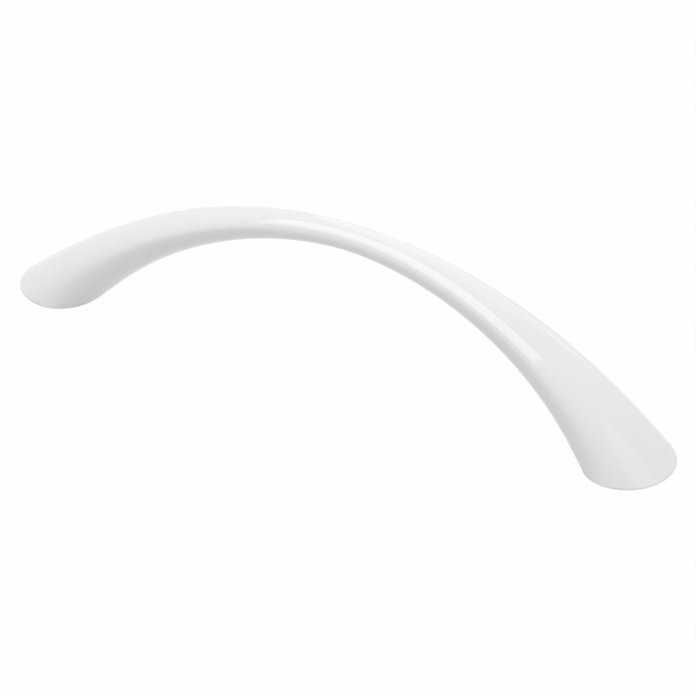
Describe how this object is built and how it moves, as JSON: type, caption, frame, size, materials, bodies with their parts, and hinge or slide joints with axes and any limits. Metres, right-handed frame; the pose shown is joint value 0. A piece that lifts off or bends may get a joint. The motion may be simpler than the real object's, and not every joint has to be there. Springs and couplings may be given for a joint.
{
  "type": "curved cabinet pull",
  "caption": "Bow cabinet pull in gloss white: a slim arched grip that spreads into flat-bottomed spoon feet, fixed by screws from behind the door.",
  "frame": {"origin": "middle of the mounting plane, on the door's face, halfway between the two screw holes", "axes": "+X along the pull from foot to foot, +Y across it, +Z out from the door towards the top of the arch"},
  "size_m": [0.1156, 0.0184, 0.0264],
  "materials": {
    "white_lacquer": "gloss"
  },
  "bodies": {
    "root": {"pull": "white_lacquer"}
  },
  "joints": []
}
